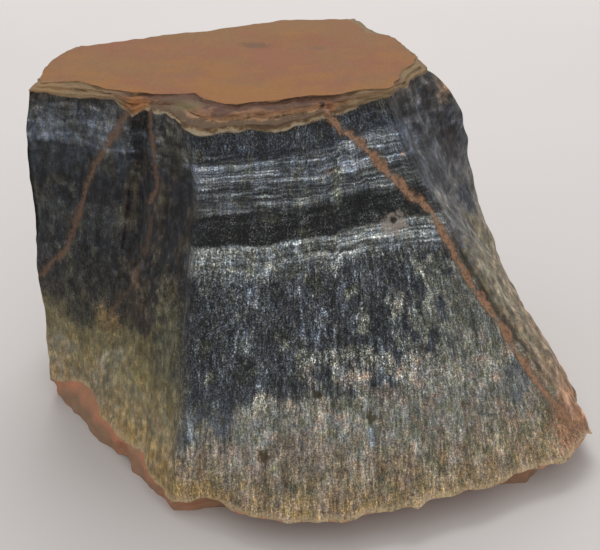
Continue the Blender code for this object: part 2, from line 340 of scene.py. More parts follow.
def arris_columns():
    """The column of each arris, and the first one's again. Columns are shared out by widths at the hem."""
    hem = np.array([arris[0][:2] for arris in ARRISES.values()])
    spans = np.linalg.norm(np.roll(hem, -1, axis=0) - hem, axis=1)
    spans[hem[:, 1] < 0.0] *= FRONT_CROWDING
    return np.concatenate([[0], np.round(np.cumsum(spans) / spans.sum() * COLUMNS)])


def around(places):
    """Carries one row of arris places (arrises, n) on to all the columns, straight between neighbours."""
    closed = np.concatenate([places, places[:1]])
    return np.stack([np.interp(np.arange(COLUMNS), arris_columns(), line) for line in closed.T], axis=1)


def face_by_face(shares, elsewhere):
    """One value for the columns of each face, by the arris before it, softened over four columns each way."""
    values = np.array([shares.get(name, elsewhere) for name in ARRISES])
    flat = values[np.searchsorted(arris_columns(), np.arange(COLUMNS), side="right") - 1]
    return np.mean([np.roll(flat, shift) for shift in range(-4, 5)], axis=0)


def inward(flat, distance):
    """Moves points (..., 2) towards the heart of the stone by a distance in mm."""
    way = HEART - flat
    return flat + way / np.linalg.norm(way, axis=-1, keepdims=True) * distance[..., None]


def ragged(ring, jag, fine_jag, seed):
    """Wanders a ring in and out and up and down, as a broken edge does, in long waves and in short ones."""
    rough = grain(ring, (LONG_WAVE, LONG_WAVE, jag), seed)
    rough += grain(ring, (SHORT_WAVE, SHORT_WAVE, fine_jag), seed + 30)
    return np.concatenate([inward(ring[:, :2], rough), ring[:, 2:] + rough[:, None]], axis=1)


def raised(flat, height):
    """Gives points (..., 2) their height."""
    return np.concatenate([flat, np.broadcast_to(height, (*flat.shape[:-1], 1))], axis=-1)


def wall_rows(levels, share):
    """The fracture faces as rows of points, from hem (share 0) to brow (share 1).

    up goes from 0 to 1 between two levels. A point has the lower level's place, plus up^2 (3 - 2 up) of the
    step to the upper one, plus up (1 - up) ((1 - up) lean below - up lean above) of its rise, so no level
    makes a kink.
    """
    rises = [upper - lower for lower, upper in zip(levels, levels[1:])]
    slopes = [rise[:, :2] / rise[:, 2:] for rise in rises]
    leans = [slopes[0], (slopes[0] + slopes[1]) / 2, (slopes[1] + slopes[2]) / 2, slopes[2]]
    z = levels[0][:, 2:] + (levels[-1] - levels[0])[:, 2:] * share[:, None, None]
    flat = levels[0][:, :2]
    for lower, rise, lean, next_lean in zip(levels, rises, leans, leans[1:]):
        up = np.clip((z - lower[:, 2:]) / rise[:, 2:], 0.0, 1.0)
        bend = up * (1.0 - up) * ((1.0 - up) * lean - up * next_lean)
        flat = flat + up * up * (3.0 - 2.0 * up) * rise[:, :2] + bend * rise[:, 2:]
    return np.concatenate([flat, z], axis=-1)


def lower_edge_rows(hem, undercut, share):
    """The lower skin's broken edge, from the table (share 0) up to the hem, set in by what is left of it."""
    left = np.interp(share, *LOWER_EDGE)[:, None]
    flat = inward(np.broadcast_to(hem[:, :2], (len(share), COLUMNS, 2)), undercut[:, 0] * left)
    return np.concatenate([flat, hem[:, 2:] * share[:, None, None]], axis=-1)


def upper_edge_rows(brow, rim, share):
    """The upper skin's stepped edge, from brow to rim. Each sheet is broken back by lumps of its own."""
    steps = np.linspace(0.0, 1.0, len(UPPER_EDGE[0]))
    across = np.interp(share, steps, UPPER_EDGE[0])[:, None, None]
    up = np.interp(share, steps, UPPER_EDGE[1])[:, None, None]
    rows = brow + (rim - brow) * np.concatenate([across, across, up], axis=-1)
    sheet = np.floor(rows[..., 2:] / LAMINA) * 7.0  # far enough apart for each to have its own
    jag = grain(np.concatenate([rows[..., :2], sheet], axis=-1), LAMINA_JAG, 21)
    fade = np.sin(np.pi * share)[:, None] ** 0.5
    return np.concatenate([inward(rows[..., :2], jag * fade), rows[..., 2:]], axis=-1)


def weathered(rows, depth):
    """Works flutes and swells into the rows, as deep as depth says, and then the dints and the spalls."""
    relief = grain(rows, FLUTES, 4) + grain(rows, SWELLS, 5)
    rows = np.concatenate([inward(rows[..., :2], relief * depth[:, None]), rows[..., 2:]], axis=-1)
    middle = np.append(HEART, HEIGHT / 2)
    for place, radius, deep in DINTS.values():
        gap = np.linalg.norm(rows - np.array(place), axis=-1, keepdims=True) / radius
        way = middle - np.array(place)
        rows = rows + way / np.linalg.norm(way) * deep * np.clip(1.0 - gap**2, 0.0, 1.0)
    for place, facing in SPALLS.values():
        facing = np.array(facing) / np.linalg.norm(facing)
        rows = rows - np.clip((rows - np.array(place)) @ facing, 0.0, None)[..., None] * facing
    return rows


def outward(rows):
    """Unit normals of the rows: the step to the next column crossed with the step to the next row."""
    along = np.roll(rows, -1, axis=1) - np.roll(rows, 1, axis=1)
    normal = np.cross(along, np.gradient(rows, axis=0))
    return normal / np.maximum(np.linalg.norm(normal, axis=-1, keepdims=True), 1e-9)


def gap_to_line(points, line):
    """Distance in mm from points to a line of corners. Depth counts a fifth, as veins run into the stone."""
    squash = np.array([1.0, 0.2, 1.0])
    gap = np.full(points.shape[:-1], np.inf)
    for start, end in zip(line, line[1:]):
        start, way = np.array(start) * squash, (np.array(end) - np.array(start)) * squash
        share = np.clip((points * squash - start) @ way / (way @ way), 0.0, 1.0)
        gap = np.minimum(gap, np.linalg.norm(points * squash - start - share[..., None] * way, axis=-1))
    return gap


def disc_rings(edge, heart, steps):
    """Rings from an edge in to the heart, each a smaller copy of the edge.

    Where they are half as wide they go on with every other column, and again at a quarter, and so on.
    """
    rings, share = [], 1.0
    while len(edge) > 8:
        for part in np.arange(1, steps + 1) / steps:
            rings.append(heart + (edge - heart) * share * (1.0 - part / 2))
        share, edge, steps = share / 2, edge[::2], max(2, steps // 2)
    return [*rings, heart[None]]


def ring_faces(counts):
    """Faces between rings of the given numbers of points, from the first ring's middle point to the last's.

    Rings of one number have four-sided faces between them. Where the number halves or doubles, each step of
    the shorter ring has three triangles, and a single point has a fan of them.
    """
    faces, start = [], 0
    for count, following in zip(counts, counts[1:]):
        above, few = start + count, min(count, following)
        a, b = np.arange(few), (np.arange(few) + 1) % few
        if count == following:
            made = [(start + a, start + b, above + b, above + a)]
        elif count == 1:
            c, d = np.arange(following), (np.arange(following) + 1) % following
            made = [(start + 0 * c, above + d, above + c)]
        elif following == 1:
            c, d = np.arange(count), (np.arange(count) + 1) % count
            made = [(start + c, start + d, above + 0 * c)]
        elif count > following:
            first, half, last = start + 2 * a, start + 2 * a + 1, start + 2 * b
            made = [(first, half, above + a), (half, last, above + b), (half, above + b, above + a)]
        else:
            first, half, last = above + 2 * a, above + 2 * a + 1, above + 2 * b
            made = [(start + a, half, first), (start + b, last, half), (start + a, start + b, half)]
        faces += [face for corners in made for face in np.stack(corners, axis=1).tolist()]
        start = above
    return faces


def step(value, start, end):
    """0 below start, 1 above end, and between them 3 s^2 - 2 s^3 of the share s of the way."""
    share = np.clip((value - start) / (end - start), 0.0, 1.0)
    return share * share * (3.0 - 2.0 * share)


def dished(gap):
    """The profile of a groove or a pit: all of its depth up to a gap of 0.3, none past 1.3, even between."""
    return np.clip(1.3 - gap, 0.0, 1.0)


hem, waist, shoulder, brow, rim, undercut = [
    around(np.array(row, dtype=float).reshape(len(ARRISES), -1)) for row in zip(*ARRISES.values())
]
hem = ragged(hem, *HEM_JAG, seed=1)
brow = ragged(brow, *BROW_JAG, seed=2)
rim = raised(ragged(raised(rim, HEIGHT), *RIM_JAG, seed=3)[:, :2], HEIGHT)
banded = face_by_face(BANDED, BANDED_ELSEWHERE)
worn = around(np.array([[WORN.get(name, 0.0)] for name in ARRISES]))[:, 0]
leaning = face_by_face(SIDE_BY_SIDE, 0.0)

# The strip from the table up to the rim: the lower skin's edge, the wall of fibres and the upper skin's ledge
up_skin = np.arange(SKIN_ROWS) / SKIN_ROWS
up_wall = np.linspace(0.0, 1.0, WALL_ROWS + 1)
up_ledge = np.arange(1, LEDGE_ROWS + 1) / LEDGE_ROWS
strip = np.concatenate(
    [
        lower_edge_rows(hem, undercut, up_skin),
        wall_rows([hem, raised(waist, WAIST), raised(shoulder, SHOULDER), brow], up_wall),
        upper_edge_rows(brow, rim, up_ledge),
    ]
)
on_skin = np.interp(up_skin, *CRUST_SHARES)
on_wall = np.interp(up_wall, *BROW_SHARES)
strip = weathered(strip, np.concatenate([on_skin, on_wall, 0.0 * up_ledge]))

# fibre numbers each fibre by where it stands at the waist, so that splinters and threads run down the
# faces: nearly straight on the front, side by side on the right flank, and fanned elsewhere
fibre = np.concatenate([np.broadcast_to(waist, (len(strip), COLUMNS, 2)), strip[..., 2:]], axis=-1)
fibre[..., 0] += (1.0 - FAN) * (banded > 0.5) * (strip[..., 0] - waist[:, 0])
fibre[..., 1] += leaning * (strip[..., 1] - waist[:, 1])

# The relief stands out along the normals. What the fibres have fades out at the hem and under the brow, and
# splinters have broken away where the bands don't show
lies = outward(strip)
strip -= MIDDLE
bare = np.sin(np.pi * np.clip(up_wall, 0.02, 0.98)) ** 0.3
fringe = np.concatenate([0.0 * up_skin, bare, 0.0 * up_ledge])[:, None]
splinters = step(grain(fibre, (*SPLINTERS[:2], 1.0), 11), 0.05, 0.3) * (1.1 - banded) * SPLINTERS[2]
relief = grain(fibre, BUNDLES, 12) + grain(fibre, THREADS, 13) - splinters
relief = fringe * (1.0 - WORN_AWAY * worn) * relief
relief += fringe * worn * grain(strip, WORN_LUMPS, 18)
lumpy = np.concatenate([np.sin(np.pi * up_skin), 0.0 * up_wall, 0.0 * up_ledge])[:, None]
relief += lumpy * grain(strip, SKIN_LUMPS, 17)
relief += (1.0 - BARE_OF_GRIT * fringe) * grain(strip, GRIT, 14)
gaps = {name: gap_to_line(strip, line) for name, (line, _, _) in VEINS.items()}
for name, (_, half, deep) in VEINS.items():
    relief -= fringe * deep * dished(gaps[name] / (1.4 * half))
place, radius, proud = NODULE
relief += proud * dished((np.linalg.norm(strip - np.array(place), axis=-1) / radius) ** 2)
for place, radius, deep, _ in PITS.values():
    relief -= deep * dished(np.linalg.norm(strip - np.array(place), axis=-1) / radius)
strip = strip + lies * relief[..., None]

# Past the right vein, the lower front is as worn as the flank beside it
corners = np.array(VEINS["right_vein"][0])[::-1]
past_vein = step(strip[..., 0] - np.interp(strip[..., 2], corners[:, 2], corners[:, 0]), *WORN_PAST)
past_vein *= step(strip[..., 2], *WORN_BELOW) * (strip[..., 1] < 0.0)
worn = np.maximum(worn, past_vein)
banded = banded * (1.0 - past_vein)

# The two flat discs that close it, and all of its rings in one list
heart = np.append(HEART, 0.0) - MIDDLE
top = disc_rings(raised(strip[-1, :, :2], HEIGHT), heart + (0.0, 0.0, HEIGHT), TOP_RINGS)
underside = disc_rings(raised(strip[0, :, :2], 0.0), heart, UNDERSIDE_RINGS)[::-1]
rings = [*underside, *strip, *top]
counts = [len(ring) for ring in rings]
points = np.concatenate(rings)
first_strip, first_top = sum(counts[: len(underside)]), sum(counts[: -len(top)])
on_underside, on_top = points[:first_strip], points[first_top:]
on_underside[:, 2] += np.abs(grain(on_underside, UNDERSIDE_PITS, 16))

# The top's swells, which its stepped edge shares more and more on its way up
heights = UPPER_EDGE[1]
rising = np.interp(np.append(0.0, up_ledge) * (len(heights) - 1), range(len(heights)), heights)
on_ledge = points[first_top - (LEDGE_ROWS + 1) * COLUMNS : first_top]
on_upper_skin = [(on_ledge, np.repeat(rising, COLUMNS)), (on_top, 1.0)]
dent, radius, deep = DINTS["top_dent"]
for part, share in on_upper_skin:
    flat = raised(part[:, :2], HEIGHT)
    gap = np.linalg.norm(flat[:, :2] + MIDDLE[:2] - dent[:2], axis=-1) / radius
    swells = grain(flat, TOP_SWELLS, 6) - TOP_SWELLS[2] + grain(flat, TOP_RIPPLES, 15)
    part[:, 2] += share * (swells - deep * np.clip(1.0 - gap**2, 0.0, 1.0))

# From the stone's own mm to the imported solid's place and box
low, high = (np.array(corner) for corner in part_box("tigers_eye_chunk"))
scale = (high[2] - low[2]) / HEIGHT
points = np.clip(points * scale + np.append((low + high)[:2] / 2, low[2]), low, high)

mesh = bpy.data.meshes.new("tigers_eye")
faces = ring_faces(counts)
mesh.from_pydata(points.tolist(), [], faces)
mesh.shade_smooth()
mesh.set_sharp_from_angle(angle=SHARP)


def carry(mesh, name, values):
    """Stores numbers (points,) or vectors (points, 3) on the mesh under a name, for its material to read."""
    if values.ndim == 1:
        mesh.attributes.new(name, "FLOAT", "POINT").data.foreach_set("value", values.astype(np.float32))
    else:
        layer = mesh.attributes.new(name, "FLOAT_VECTOR", "POINT")
        layer.data.foreach_set("vector", values.astype(np.float32).ravel())


def with_discs(values, below, above):
    """The strip's values with one value for all of the underside's disc before them, and the top's after."""
    values = np.broadcast_to(values, (len(strip), COLUMNS, *np.shape(below))).reshape(-1, *np.shape(below))
    under = np.broadcast_to(below, (first_strip, *np.shape(below)))
    over = np.broadcast_to(above, (len(points) - first_top, *np.shape(above)))
    return np.concatenate([under, values, over])


# seam holds how far a point is under the brow and over the hem, in mm, and its share of the way over the
# ledge. The discs are well past the brow and the hem
over_ledge = np.concatenate([0.0 * up_skin, 0.0 * up_wall, up_ledge])[:, None]
seam = np.broadcast_arrays(brow[:, 2] - strip[..., 2], strip[..., 2] - hem[:, 2], over_ledge)
seam = np.stack(seam, axis=-1)
carry(mesh, "fibre", with_discs(fibre, (0.0, 0.0, 0.0), (0.0, 0.0, HEIGHT)))
carry(mesh, "seam", with_discs(seam, (HEIGHT, -5.0, 0.0), (-5.0, HEIGHT, 1.0)))
carry(mesh, "banded", with_discs(banded, 0.0, 0.0))
carry(mesh, "worn", with_discs(worn, 0.0, 0.0))
for name, gap in gaps.items():
    carry(mesh, name, with_discs(gap, HEIGHT, HEIGHT))

# The map that its finish is kept on: the strip lies along the lower half, and the discs side by side above it
corner = np.empty(len(mesh.loops), np.int32)
mesh.loops.foreach_get("vertex_index", corner)
starts = np.empty(len(mesh.polygons), np.int32)
mesh.polygons.foreach_get("loop_start", starts)
sizes = np.diff(np.append(starts, len(corner)))
along = (corner - first_strip) % COLUMNS / COLUMNS
spans = np.maximum.reduceat(along, starts) - np.minimum.reduceat(along, starts)
along = np.where((np.repeat(spans, sizes) > 0.5) & (along < 0.5), 1.0, along)
up = (corner - first_strip) // COLUMNS / (len(strip) - 1)
flat = (points[corner, :2] - low[:2]) / (high - low)[:2]
of_underside = np.repeat(np.minimum.reduceat(corner, starts) < first_strip, sizes)
of_top = np.repeat(np.maximum.reduceat(corner, starts) >= first_top, sizes)
on_disc = np.stack([0.01 + 0.48 * flat[:, 0] + 0.5 * of_top, 0.57 + 0.42 * flat[:, 1]], axis=-1)
on_strip = np.stack([along, 0.01 + 0.54 * up], axis=-1)
spread = np.where((of_underside | of_top)[:, None], on_disc, on_strip)
mesh.uv_layers.new(name="OFBake").uv.foreach_set("vector", spread.astype(np.float32).ravel())

# Its colours. Bands of the seam, as height in mm and colour: where they show clearly, on the other faces,
# and where it is worn
BANDS = (
    (4.0, (96, 96, 96)),
    (13.0, (86, 88, 91)),
    (16.5, (55, 57, 61)),
    (24.0, (52, 54, 57)),
    (29.6, (55, 57, 60)),
    (30.6, (98, 100, 100)),
    (31.4, (126, 128, 126)),
    (33.9, (123, 125, 122)),
    (34.3, (19, 19, 20)),
    (37.6, (25, 25, 26)),
    (38.2, (76, 78, 79)),
    (40.6, (74, 77, 79)),
    (41.2, (104, 107, 111)),
    (43.8, (103, 107, 112)),
    (44.6, (50, 54, 60)),
    (47.0, (41, 43, 47)),
    (48.4, (50, 46, 42)),
)
SHADED_BANDS = (
    (3.0, (136, 115, 82)),
    (7.0, (140, 121, 83)),
    (11.0, (127, 112, 75)),
    (15.0, (109, 98, 68)),
    (17.5, (86, 77, 56)),
    (19.0, (54, 49, 42)),
    (26.0, (38, 38, 38)),
    (36.0, (36, 36, 38)),
    (41.6, (38, 40, 44)),
    (42.1, (28, 29, 33)),
    (42.6, (81, 85, 91)),
    (45.0, (92, 95, 100)),
    (47.0, (75, 77, 80)),
    (49.0, (54, 50, 46)),
)
WORN_BANDS = (
    (3.0, (152, 116, 87)),
    (9.0, (142, 116, 92)),
    (18.0, (135, 118, 97)),
    (26.0, (120, 109, 92)),
    (31.0, (94, 91, 90)),
    (38.0, (78, 78, 82)),
    (45.0, (60, 59, 60)),
    (49.0, (74, 68, 64)),
)

# Where its marks lie, in mm
KINK = (3.0, 4.2)  # x over which the bands step up to the right
KINK_LOWERS = (0.2, -0.3)  # how far they are lowered to the left of it and to the right
BLACK_BAND, HALF_BLACK_BAND = 35.9, 1.7  # the middle of the black band and half its height
LINES_START, LINES_END = (30.0, 31.0), (45.5, 44.5)  # heights where the growth lines set in and fade
LINES_SPREAD = (34.4, 37.6)  # heights where they spread from the right to all of the front
FOOT_TOP = (19.8, 17.4)  # heights where the bands give way to the olive foot

# Its other colours
STREAK = paint(108, 113, 118)  # long pale streaks below the bands
DIM_RUST = paint(70, 50, 42)  # rusty blots on the faces where the bands hardly show
OLIVE = paint(132, 129, 120)  # the foot
TAN = paint(158, 131, 95)  # its bottom
OCHRE = paint(150, 122, 74)  # patches along the hem
PINKISH = paint(150, 128, 112)  # patches in the foot
MOSS = paint(104, 104, 82)  # patches in the foot and on the worn flank
GREY_GREEN = paint(99, 100, 92)  # the foot's top
DIM_OLIVE = paint(74, 74, 61)  # large blots at any height
PALE_GRIT = paint(96, 98, 95)  # grains in the black band
# painted highlights: fibres that catch the light, painted pale into their colour
PAINTED_GLINT = paint(168, 174, 176)  # fibres that catch the light
COLD, WARM = (0.85, 0.96, 1.13, 1.0), (1.05, 1.03, 0.93, 1.0)  # casts that a fibre's colour is multiplied by
# the shine is partly a painted sheen, fibres painted paler or darker as they catch or miss the light, and
# partly their own tone
SHINE = 2.4  # how much paler each whole step of shine makes a fibre
VEIN_COLOURS = {  # and how much of it covers the fibres
    "left_vein": ((106, 82, 66), 0.75),
    "hollow_vein": ((110, 84, 70), 0.7),
    "hollow_vein_foot": ((92, 74, 62), 0.45),
    "crack": ((44, 46, 36), 0.65),
    "right_vein": ((151, 115, 89), 0.92),
}
VEIN_PALE = (1.22, 1.30, 1.40, 1.0)  # a cast on the paler parts of a vein
VEIN_EDGE = paint(72, 56, 44)
NODULE_PALE = (144, 134, 125)
FIBRE_STAINS = {  # place, radii and colour
    "flake": ((6.3, -25.1, 17.9), (1.6, 4.0, 0.5), (152, 134, 117)),
    "orange_fleck": ((12.9, -5.6, 42.0), (0.5, 2.0, 0.5), (130, 106, 86)),
    "rust_in_fold": ((2.9, -9.9, 41.3), (0.9, 3.0, 0.4), (104, 76, 62)),
    "rusty_tip": ((38.5, -19.0, 6.5), (5.5, 9.0, 7.0), (168, 124, 95)),
    "rust_on_flank": ((40.0, -11.0, 8.5), (5.0, 6.0, 5.0), (156, 117, 92)),
    "rusty_shoulder": ((20.0, 14.0, 45.5), (2.6, 6.0, 2.6), (104, 80, 56)),
    "olive_fold": ((3.6, -10.8, 39.8), (0.8, 6.0, 4.2), (88, 89, 78)),
    "pink_by_flake": ((10.3, -26.0, 15.9), (2.2, 5.0, 1.0), (126, 113, 103)),
    "pale_streak": ((8.1, -29.9, 11.6), (0.45, 4.0, 1.8), (150, 157, 160)),
    "pale_at_prow": ((-16.0, -28.6, 11.8), (0.45, 4.0, 1.8), (146, 154, 158)),
    "blue_low_right": ((29.0, -21.0, 14.0), (2.4, 9.0, 3.4), (93, 95, 96)),
    "blue_on_flank": ((13.5, -2.7, 43.2), (2.4, 3.5, 3.0), (80, 85, 95)),
    "dark_on_flank": ((21.2, 8.0, 38.5), (3.4, 4.5, 4.2), (50, 46, 46)),
    "dark_by_vein": ((17.9, -0.8, 37.9), (1.5, 3.0, 2.2), (58, 59, 61)),
    "pale_on_flank": ((18.8, -5.8, 35.2), (1.8, 2.6, 3.4), (112, 109, 103)),
    "navy_on_flank": ((24.0, 7.5, 29.8), (2.4, 4.0, 3.0), (50, 54, 64)),
    # painted shade, over a dark stain of its own, in the deep pocket at the top of the hollow under the ledge
    "stain_and_painted_shade_at_hollow_top": ((-22.9, -6.6, 44.5), (2.6, 9.0, 6.0), (24, 23, 21)),
    "by_recess": ((-18.6, -9.6, 44.5), (3.6, 9.0, 5.0), (58, 54, 46)),
    "pink_low": ((-1.0, -30.0, 11.0), (5.0, 9.0, 2.5), (128, 114, 100)),
    "olive_by_prow": ((-19.5, -18.0, 20.0), (3.0, 8.0, 9.0), (84, 80, 62)),
    "dark_at_left": ((-34.1, -6.4, 17.0), (2.8, 4.0, 2.5), (52, 49, 42)),
    "tan_below_hollow": ((-29.6, -9.0, 17.4), (2.4, 4.0, 2.4), (114, 95, 66)),
    "flake_in_hollow": ((-24.8, -9.7, 24.6), (0.9, 4.0, 1.6), (118, 96, 78)),
}
SKIN_STAINS = {
    "rust_by_left_vein": ((-23.9, -4.6, 48.7), (2.2, 2.6, 1.6), (150, 102, 62)),
    "rust_by_right_vein": ((2.2, -5.4, 48.6), (1.4, 1.6, 1.6), (132, 86, 56)),
    # painted shadow on the ledge above the hollow
    "painted_shadow_on_ledge": ((-18.3, -5.6, 49.2), (3.6, 2.4, 1.2), (90, 70, 54)),
    "green_on_ledge": ((-16.5, -6.5, 49.2), (2.6, 1.8, 1.0), (100, 90, 62)),
    "tan_at_left_end": ((-37.5, 0.5, 49.6), (4.0, 2.2, 2.0), (134, 106, 74)),
    "smudge_on_top": ((-8.4, 20.6, 49.8), (2.8, 1.8, 2.0), (104, 78, 60)),
    "smudge_behind": ((1.4, 19.6, 49.8), (1.8, 1.0, 2.0), (114, 88, 68)),
}
SKIN_BROWN = paint(128, 94, 62)
SKIN_ORANGE = paint(140, 97, 53)
SKIN_RED = paint(132, 88, 62)
LEDGE_BANDS = (  # share of the way from brow to rim, and colour
    (0.00, (164, 148, 124)),
    (0.06, (144, 126, 100)),
    (0.11, (110, 88, 64)),
    (0.18, (84, 66, 50)),
    (0.36, (94, 75, 57)),
    (0.44, (146, 112, 82)),
    (0.58, (124, 90, 68)),
    (0.66, (86, 62, 52)),
    (0.86, (96, 68, 54)),
    # a dark line under the rim: painted shadow of the rim's overhang, over a dark crack of its own
    (0.94, (50, 37, 31)),
    (1.00, (104, 76, 56)),
)
LEDGE_TAN = paint(126, 105, 78)
CRUST_RED = paint(163, 111, 85)
CRUST_BROWN = paint(150, 120, 97)
LIP = paint(176, 156, 124)  # the fibres' pale broken ends along the hem

# Clouds that its colours are worked out from: the shares that draw them out along x, y and z (the smaller,
# the longer), and their scale, detail and roughness. The first ones follow each fibre, the others don't
FIBRE_CLOUDS = {
    "folds": ((1.0, 1.0, 0.03), 0.30, 2.0, 0.4),
    "tufts": ((1.0, 1.0, 0.50), 0.6, 4.0, 0.6),
    "streaks": ((1.0, 1.0, 0.22), 0.9, 2.0, 0.5),
    "threads": ((1.0, 1.0, 0.16), 2.6, 3.0, 0.65),
    "flecks": ((1.0, 1.0, 0.40), 3.6, 2.0, 0.7),
}
STONE_CLOUDS = {
    "patches": ((1.0, 1.0, 1.0), 0.16, 3.0, 0.5),
    "blots": ((1.0, 1.0, 0.6), 0.35, 3.0, 0.6),
    "tints": ((1.0, 1.0, 0.6), 0.5, 4.0, 0.65),
    "smears": ((1.0, 0.7, 0.45), 0.7, 4.0, 0.65),
    "bars": ((0.3, 0.3, 1.0), 0.9, 3.0, 0.6),
    "casts": ((1.0, 1.0, 0.40), 1.0, 4.0, 0.75),
    "lumps": ((1.0, 0.7, 0.7), 1.0, 3.0, 0.55),
    "mottles": ((1.0, 1.0, 0.7), 1.4, 3.0, 0.6),
    "fray": ((1.0, 1.0, 1.0), 1.6, 3.0, 0.7),
    "crumbs": ((1.0, 1.0, 1.0), 2.4, 4.0, 0.65),
    "specks": ((1.0, 1.0, 1.0), 4.6, 2.0, 0.7),
    # the cloud that places the painted pale highlights on the fibres
    "painted_glints": ((1.0, 1.0, 0.7), 4.8, 2.0, 0.8),
}


def ramp(tree, value, stops, reach):
    """A colour for each value from 0 to reach: the stops' own colours at their values, blended between."""
    made = node(tree, "ValToRGB", {0: between(tree, value, 0.0, reach)})
    elements = made.color_ramp.elements
    for _ in stops[2:]:
        elements.new(0.5)
    for element, (place, colour) in zip(elements, stops):
        element.position = place / reach
        element.color = paint(*colour)
    return made.outputs[0]


def maths(tree, operation, *values):
    """One step of arithmetic on numbers or outputs."""
    return node(tree, "Math", dict(enumerate(values)), operation=operation).outputs[0]


def swing(tree, value, amount):
    """Turns a cloud about 0.5 into one about 0, as deep as amount."""
    return maths(tree, "MULTIPLY_ADD", value, 2.0 * amount, -amount)


def total(tree, first, *others):
    """The sum of several numbers or outputs."""
    for other in others:
        first = maths(tree, "ADD", first, other)
    return first


def product(tree, first, *others):
    """Several numbers or outputs multiplied together."""
    for other in others:
        first = maths(tree, "MULTIPLY", first, other)
    return first


def scaled(tree, place, *shares):
    """A place with its x, y and z each multiplied by a share, so that clouds read from it are drawn out."""
    return node(tree, "Mapping", {"Vector": place, "Scale": shares}).outputs[0]


def carried(tree, name, output="Fac"):
    """The values that the mesh carries under a name."""
    return node(tree, "Attribute", attribute_name=name).outputs[output]


def stone_clouds(tree, here):
    """All of the stone's clouds, by name."""
    fibre = carried(tree, "fibre", "Vector")
    kinds = [(fibre, FIBRE_CLOUDS), (here, STONE_CLOUDS)]
    return {
        name: cloud(tree, scaled(tree, place, *shares), *grains)
        for place, kind in kinds
        for name, (shares, *grains) in kind.items()
    }


def stained(tree, here, colour, stains, fray, share):
    """Lays frayed round patches over a colour: a share of each covers it out to 0.6 of its radii."""
    for place, radii, shade in stains:
        gap = node(tree, "VectorMath", {0: here, 1: place}, operation="SUBTRACT").outputs[0]
        gap = node(tree, "VectorMath", {0: gap, 1: radii}, operation="DIVIDE").outputs[0]
        gap = node(tree, "VectorMath", {0: gap}, operation="LENGTH").outputs["Value"]
        cover = between(tree, total(tree, gap, fray), 1.0, 0.6, 0.0, share)
        colour = mixed(tree, cover, colour, paint(*shade))
    return colour


def veined(tree, colour, clouds, fray):
    """Lays the veins over a colour by the frayed gap to each: speckled, with a broken dark edge."""
    tufts, crumbs = clouds["tufts"], clouds["crumbs"]
    for name, (shade, share) in VEIN_COLOURS.items():
        half = VEINS[name][1]
        gap = total(tree, carried(tree, name), product(tree, fray, 1.5 * half))
        gap = total(tree, gap, swing(tree, tufts, 2.8 * half))
        toned = mixed(tree, between(tree, tufts, 0.46, 0.62, 0.0, 0.8), paint(*shade), VEIN_PALE, "MULTIPLY")
        speckled = mixed(tree, between(tree, crumbs, 0.38, 0.54, 0.35, 1.0), VEIN_EDGE, toned)
        colour = mixed(tree, between(tree, gap, 2.2 * half, 1.1 * half, 0.0, 0.6 * share), colour, VEIN_EDGE)
        colour = mixed(tree, between(tree, gap, 1.45 * half, 0.55 * half, 0.0, share), colour, speckled)
    return colour


def banded_colour(tree, place, level, banded, clouds):
    """The seam's bands, by level: clear with pale streaks, and shaded, which blots push up or down."""
    blots = clouds["blots"]
    moved = product(tree, swing(tree, blots, 1.0), between(tree, place.outputs[2], 28.0, 40.0, 6.0, 0.8))
    moved = total(tree, level, moved)
    shaded = ramp(tree, moved, SHADED_BANDS, HEIGHT)
    rusty = product(
        tree,
        between(tree, blots, 0.50, 0.62, 0.0, 0.6),
        between(tree, moved, 18.0, 21.0),
        between(tree, place.outputs[0], -30.0, -25.0, 0.2, 1.0),
    )
    shaded = mixed(tree, rusty, shaded, DIM_RUST)
    streaks = between(tree, clouds["streaks"], 0.56, 0.66, 0.0, 0.6)
    streaks = product(tree, streaks, between(tree, level, 33.0, 28.0))
    clear = mixed(tree, streaks, ramp(tree, level, BANDS, HEIGHT), STREAK)
    return mixed(tree, banded, shaded, clear)


def olive_colour(tree, place, level, clouds):
    """The foot's own colour: olive with pinkish and moss green patches, tan low down, grey green on top."""
    tints = clouds["tints"]
    low = between(tree, total(tree, level, swing(tree, clouds["tufts"], 8.0)), 12.0, 4.0)
    olive = mixed(tree, low, OLIVE, TAN)
    olive = mixed(tree, between(tree, tints, 0.50, 0.62, 0.0, 0.7), olive, PINKISH)
    olive = mixed(tree, between(tree, tints, 0.48, 0.38, 0.0, 0.7), olive, MOSS)
    return mixed(tree, between(tree, place.outputs[2], 17.5, 21.0, 0.0, 0.8), olive, GREY_GREEN)


